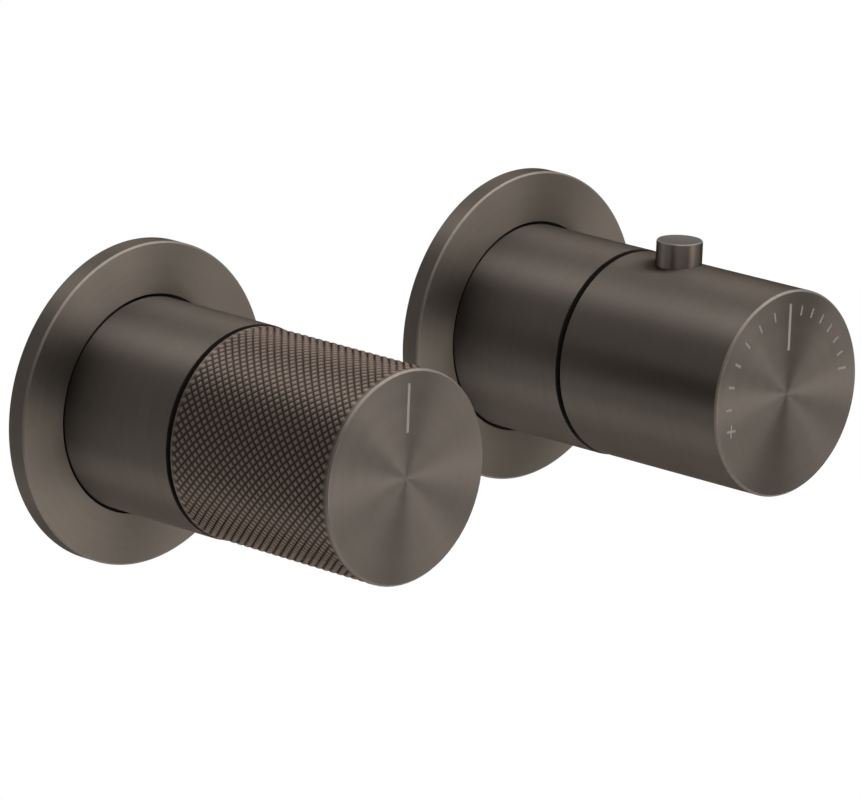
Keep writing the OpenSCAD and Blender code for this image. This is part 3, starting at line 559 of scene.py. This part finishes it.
def subtract(target, cutter_shape):
    # Takes the cutters out of a piece.
    mesh = bpy.data.meshes.new("cutter")
    cutter_shape.to_mesh(mesh)
    cutter_shape.free()
    cutter = bpy.data.objects.new("cutter", mesh)
    cutter.location = target.location
    bpy.context.scene.collection.objects.link(cutter)
    step = target.modifiers.new("cut", "BOOLEAN")
    step.operation = "DIFFERENCE"
    step.solver = "EXACT"
    step.object = cutter
    bpy.context.view_layer.update()
    done = bpy.data.meshes.new_from_object(
        target.evaluated_get(bpy.context.evaluated_depsgraph_get()))
    target.modifiers.clear()
    target.data = done
    bpy.data.objects.remove(cutter)


# Laser engraved floor: matt and paler than the face, with a fine tooth.
engraved = grained("steel_laser_engraved", "#716b66", "#807a74", 0, 0.8, 0.15, bump=0.2,
                   relief=0.02)

# Rolled knurl: coloured dark in the grooves, painted shade, and light on the crests, painted
# highlight.
knurled, tree = new_material("steel_dark_coated_knurled")
spot = add(tree, "ShaderNodeTexCoord")
parts = add(tree, "ShaderNodeSeparateXYZ", Vector=spot.outputs["Object"])
radius = distance_from_axis(tree, parts)
height = add(tree, "ShaderNodeMapRange", {"From Min": (knob_r - knurl_depth) * MM,
             "From Max": knob_r * MM}, Value=radius.outputs[0])
# From groove to crest the colour rises from painted shade to painted highlight.
shade = add(tree, "ShaderNodeMix", {"data_type": "RGBA", "A": linear("#2a2420"),
            "B": linear("#85776e")}, Factor=height.outputs[0])
speck = add(tree, "ShaderNodeTexNoise", {"Scale": 1 / (0.8 * MM), "Detail": 3},
            Vector=spot.outputs["Object"])
polish = add(tree, "ShaderNodeMapRange", {"From Min": 0.3, "From Max": 0.7, "To Min": 0.54,
             "To Max": 0.62}, Value=speck.outputs["Fac"])
round_brushed(tree, Base_Color=shade.outputs[2], Roughness=polish.outputs[0])

knob_finishes = [spun_face, engraved, knurled, edge_painted_highlight, bore_painted_shade]
volume_cup = piece("volume_knob_cup", knurled_cup(), volume_axis, "volume_handle",
                   "dark_brushed_steel", knob_finishes, "volume_knob", smooth_below=60)
subtract(volume_cup, cut_boxes([(0, line_from, line_to, line_width)]))


def sort_finishes(cup, rolled):
    # The marks' floors are engraved and the rolled side knurled; the broken edge gets painted
    # highlight, and the inside and the back of the cup painted shade.
    front_slack = 0.001
    groove_slack = 0.08
    rolled_slack = 0.1
    flat_normal = 0.9999
    for face in cup.data.polygons:
        out = -face.center.y / MM
        radius = math.hypot(face.center.x, face.center.z) / MM
        marked = knob_front - mark_depth - slack < out < knob_front - front_slack
        on_side = radius > knob_r - knurl_depth - groove_slack and out < rolled_to + rolled_slack
        in_cup = radius < knob_in + slack and out < knob_floor + slack
        if marked and radius < knob_in:
            finish = engraved
        elif rolled and on_side:
            finish = knurled
        elif in_cup or out < knob_back + slack:
            finish = bore_painted_shade
        elif -front_normal < face.normal.y < -side_normal and radius > knob_in:
            finish = edge_painted_highlight
        else:
            finish = spun_face
        face.material_index = knob_finishes.index(finish)
        if finish == engraved or abs(face.normal.y) > flat_normal:
            face.use_smooth = False


sort_finishes(volume_cup, rolled=True)

# Temperature knob: a plain turned cup in the same finish, held by a grub screw too. It has a hole
# for the safety button and an engraved dial: a long line, six ticks each side, a plus and a
# minus.
back_round = 0.3
hot_step = 15.5
cold_step = 11.5
signs_at_step = 7
tick_width = 0.6
tick_length = 2.2
tick_at = 0.8 * knob_r
sign_length = 3.0
button_out = 49
button_hole_r = 5.17
button_steps = 96
hole_middle = 22
hole_depth = 8
smooth_outline = (
    [(knob_in, knob_back), (knob_r - back_round, knob_back)]
    + soft_edge(knob_r - back_round, knob_back + back_round, -90, 0, back_round)[1:]
    + broken_edge(knob_r, knob_front, knob_bevel)
    + [(0, knob_front), (0, knob_floor), (knob_in, knob_floor)]
)
temp_cup = piece("temp_knob_cup", turned_mesh(smooth_outline, round_steps), temp_axis,
                 "temp_handle", "dark_brushed_steel", knob_finishes, "temp_knob")

marks = [(0, line_from, line_to, line_width)]
for i in range(1, signs_at_step):
    for turn in (-i * hot_step, i * cold_step):
        marks.append((turn, tick_at - tick_length / 2, tick_at + tick_length / 2, tick_width))
subtract(temp_cup, cut_boxes(marks))


def upright_box(turn, wide, high):
    # A sign's bar keeps level with the room, so it is placed by its middle.
    shape = bmesh.new()
    a = math.radians(turn)
    middle = Matrix.Translation((
        tick_at * math.sin(a) * MM, (-knob_front + mark_depth - cutter_over) * MM,
        tick_at * math.cos(a) * MM))
    size = Matrix.Diagonal((wide * MM, 2 * cutter_over * MM, high * MM, 1))
    bmesh.ops.create_cube(shape, size=1, matrix=middle @ size)
    return shape


plus_turn = -signs_at_step * hot_step
minus_turn = signs_at_step * cold_step
for turn, wide, high in (
    (plus_turn, sign_length, tick_width),
    (plus_turn, tick_width, sign_length),
    (minus_turn, sign_length, tick_width),
):
    subtract(temp_cup, upright_box(turn, wide, high))

hole_shape = bmesh.new()
bmesh.ops.create_cone(hole_shape, cap_ends=True, segments=button_steps,
                      radius1=button_hole_r * MM, radius2=button_hole_r * MM,
                      depth=hole_depth * MM,
                      matrix=Matrix.Translation((0, -button_out * MM, hole_middle * MM)))
subtract(temp_cup, hole_shape)
temp_cup.data.shade_smooth()
temp_cup.data.set_sharp_from_angle(angle=math.radians(usual_smooth))
sort_finishes(temp_cup, rolled=False)

# Safety button: a small turned steel cap in the same coating, brushed round its own upright
# axis, which slides in the knob's boss.
button_r = 5.1
button_low = 21.5
button_top = 28.05
button_bevel = 0.5

# Upright spun steel: the plate's finish, with lines that run round the button's own axis.
spun_button = spun_plate.copy()
spun_button.name = "steel_dark_coated_spun_upright"
for made in spun_button.node_tree.nodes:
    if made.type == "TANGENT":
        made.axis = "Z"

# Bead blasted top: darker and duller than the side, so that a wet finger finds it.
blasted_top = grained("steel_dark_coated_blasted", "#4c4642", "#58524d", 1, 0.6, 0.25, bump=0.2,
                      relief=0.03)

button_outline = (
    [(0, button_low), (button_r, button_low)]
    + soft_edge(button_r - button_bevel, button_top - button_bevel, 0, 90, button_bevel)
    + [(0, button_top)]
)
button_shape = turned_mesh(button_outline, button_steps, closed=False)
bmesh.ops.transform(button_shape, matrix=Matrix.Rotation(math.radians(-90), 4, "X"),
                    verts=button_shape.verts)
button_finishes = [spun_button, edge_painted_highlight, blasted_top]
button = piece("safety_button_cap", button_shape, temp_axis + Vector((0, -button_out * MM, 0)),
               "button", "dark_brushed_steel", button_finishes, "safety_button")
for face in button.data.polygons:
    if face.normal.z > front_normal:
        face.material_index = button_finishes.index(blasted_top)
    # The broken edge takes the lighter colour: painted highlight.
    elif face.normal.z > side_normal:
        face.material_index = button_finishes.index(edge_painted_highlight)

# Body: sand cast brass, left raw outside. Its back, the ends of the ports and the pipe threads
# are machined: bright tool marks instead of the sand's grain, and thread lines in the ports.
inlet_aside = 18
inlet_y = -35.5
outlet_y = -38.0
inlet_end = -62
outlet_end = 44
end_band = 0.15
back_band = 0.1
thread_length = 15
thread_pitch = 1.814
port_reach = 9.6
ports = ((axis_aside - inlet_aside, inlet_y), (axis_aside + inlet_aside, inlet_y),
         (-axis_aside, outlet_y))

# Sand cast brass: dull gold with a sandy bump, bright and smooth where a tool has been.
machined_brass, tree = new_material("brass_sand_cast_machined")
spot = add(tree, "ShaderNodeTexCoord")
sand = add(tree, "ShaderNodeTexNoise", {"Scale": 1 / (1.1 * MM), "Detail": 4, "Roughness": 0.6},
           Vector=spot.outputs["Object"])
patch = add(tree, "ShaderNodeTexNoise", {"Scale": 1 / (14 * MM), "Detail": 4},
            Vector=spot.outputs["Object"])
tool = add(tree, "ShaderNodeTexNoise", {"Scale": 1 / (0.35 * MM), "Detail": 1},
           Vector=spot.outputs["Object"])
parts = add(tree, "ShaderNodeSeparateXYZ", Vector=spot.outputs["Object"])
machined = add(tree, "ShaderNodeMath", {"operation": "GREATER_THAN", 1: -back_band * MM},
               i0=parts.outputs["Y"])
for operation, limit in (("LESS_THAN", inlet_end + end_band),
                         ("GREATER_THAN", outlet_end - end_band)):
    ended = add(tree, "ShaderNodeMath", {"operation": operation, 1: limit * MM},
                i0=parts.outputs["Z"])
    machined = add(tree, "ShaderNodeMath", {"operation": "MAXIMUM"}, i0=machined.outputs[0],
                   i1=ended.outputs[0])
threaded = None
for port_x, port_y in ports:
    reach = add(tree, "ShaderNodeVectorMath", {"operation": "MULTIPLY_ADD", 1: (1, 1, 0),
                2: (-port_x * MM, -port_y * MM, 0)}, i0=spot.outputs["Object"])
    reach = add(tree, "ShaderNodeVectorMath", {"operation": "LENGTH"}, i0=reach.outputs[0])
    inside = add(tree, "ShaderNodeMath", {"operation": "LESS_THAN", 1: port_reach * MM},
                 i0=reach.outputs["Value"])
    threaded = inside if threaded is None else add(
        tree, "ShaderNodeMath", {"operation": "MAXIMUM"}, i0=threaded.outputs[0],
        i1=inside.outputs[0])
drop = add(tree, "ShaderNodeMath", {"operation": "ABSOLUTE"}, i0=parts.outputs["Z"])
beyond = add(tree, "ShaderNodeMath", {"operation": "GREATER_THAN",
             1: (outlet_end - thread_length) * MM}, i0=drop.outputs[0])
threaded = add(tree, "ShaderNodeMath", {"operation": "MULTIPLY"}, i0=threaded.outputs[0],
               i1=beyond.outputs[0])
turns = add(tree, "ShaderNodeMath", {"operation": "PINGPONG", 1: thread_pitch * MM / 2},
            i0=parts.outputs["Z"])
flank = add(tree, "ShaderNodeMapRange", {"From Max": thread_pitch * MM / 2},
            Value=turns.outputs[0])
cut = add(tree, "ShaderNodeMath", {"operation": "MAXIMUM"}, i0=machined.outputs[0],
          i1=threaded.outputs[0])
raw = add(tree, "ShaderNodeMix", {"data_type": "RGBA", "A": linear("#937c4c"),
          "B": linear("#b29c6b")}, Factor=patch.outputs["Fac"])
clean = add(tree, "ShaderNodeMix", {"data_type": "RGBA", "B": linear("#cdb57f")},
            Factor=cut.outputs[0], A=raw.outputs[2])
# Thread lines: the colour darkens and lightens along each turn, painted shade of the grooves.
dark = add(tree, "ShaderNodeMapRange", {"To Min": 1, "To Max": 0.45}, Value=flank.outputs[0])
groove = add(tree, "ShaderNodeMix", {"data_type": "FLOAT", "A": 1}, Factor=threaded.outputs[0],
             B=dark.outputs[0])
shade = add(tree, "ShaderNodeVectorMath", {"operation": "SCALE"}, i0=clean.outputs[2],
            Scale=groove.outputs[0])
rough = add(tree, "ShaderNodeMapRange", {"To Min": 0.58, "To Max": 0.3}, Value=cut.outputs[0])
polish = add(tree, "ShaderNodeMath", {"operation": "MULTIPLY_ADD", 1: 0.12},
             i0=sand.outputs["Fac"], i2=rough.outputs[0])
lathe = add(tree, "ShaderNodeMath", {"operation": "MULTIPLY", 1: 0.08}, i0=tool.outputs["Fac"])
relief = add(tree, "ShaderNodeMix", {"data_type": "FLOAT"}, Factor=cut.outputs[0],
             A=sand.outputs["Fac"], B=lathe.outputs[0])
bump = add(tree, "ShaderNodeBump", {"Strength": 0.9, "Distance": 0.5 * MM},
           Height=relief.outputs[0])
shader = add(tree, "ShaderNodeBsdfPrincipled", {"Metallic": 1}, Base_Color=shade.outputs[0],
             Roughness=polish.outputs[0], Normal=bump.outputs[0])
add(tree, "ShaderNodeOutputMaterial", Surface=shader.outputs[0])

# Turned, moulded, pressed and drawn pieces in the wall: each one plain material with its own
# grain, from the lathe, the mould, the press or the drawing die.
plain_swing = 0.05
finishes = {"dark_brushed_steel": spun_face}

# Each slot's material, two colours, metal, roughness, grain size and bump, under what it looks
# like.
for slot, name, dark, light, metal, rough, grain, bump in (
    # Bright gold with fine marks of the lathe.
    ("brass", "brass_turned", "#bfa468", "#cfb67d", 1, 0.28, 0.6, 0.1),
    # Black with a soft sheen.
    ("rubber", "rubber_moulded", "#161616", "#202020", 0, 0.6, 1.0, 0.2),
    # Dark grey and matt, with small cells.
    ("foam", "foam_closed_cell", "#2b2b2b", "#3a3a3a", 0, 0.85, 0.5, 0.6),
    # Cream and satin, with a trace of the glass fibres.
    ("pale_polymer", "polymer_glass_filled", "#cfccc2", "#dcd9d0", 0, 0.45, 1.5, 0.1),
    # Black and satin.
    ("dark_polymer", "nylon_moulded", "#1d1d1e", "#272728", 0, 0.5, 1.0, 0.15),
    # Cool and bright, with fine marks of the die.
    ("stainless_steel", "steel_bright_drawn", "#b5b6b8", "#c6c7c9", 1, 0.28, 0.7, 0.1),
    # Glossy ivory.
    ("ceramic", "alumina_lapped", "#e8e4da", "#f0ede5", 0, 0.2, 2.0, 0.02),
    # Warm and bright.
    ("copper", "copper_drawn", "#b87348", "#c98659", 1, 0.3, 0.8, 0.1),
):
    finishes[slot] = grained(name, dark, light, metal, rough, grain, swing=plain_swing, bump=bump)
for part in frame["record"]["subparts"]:
    node_object = frame["nodes"][part["node"]]
    finish = machined_brass if part["node"] == "valve_body" else finishes[part["material_slot"]]
    node_object.data.materials.clear()
    node_object.data.materials.append(finish)

# Springs: hard drawn wire coils, which shorten when the piece on their free end moves. Here
# each one only gets a mesh of its own.
# Each spring's joint, axis, the places of its seated and free ends along it, and its travel.
for spring, joint, axis, seated, free, travel in (
    ("hot_check_spring", "hot_check", (0, 0, 1), -31.0, -36.85, 3),
    ("cold_check_spring", "cold_check", (0, 0, 1), -31.0, -36.85, 3),
    ("button_spring", "button_press", (0, 0, 1), 17.66, 21.44, 2.5),
    ("return_spring", "regulator_slide", (0, 1, 0), -18.79, -32.69, 1),
):
    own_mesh(frame["nodes"][spring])
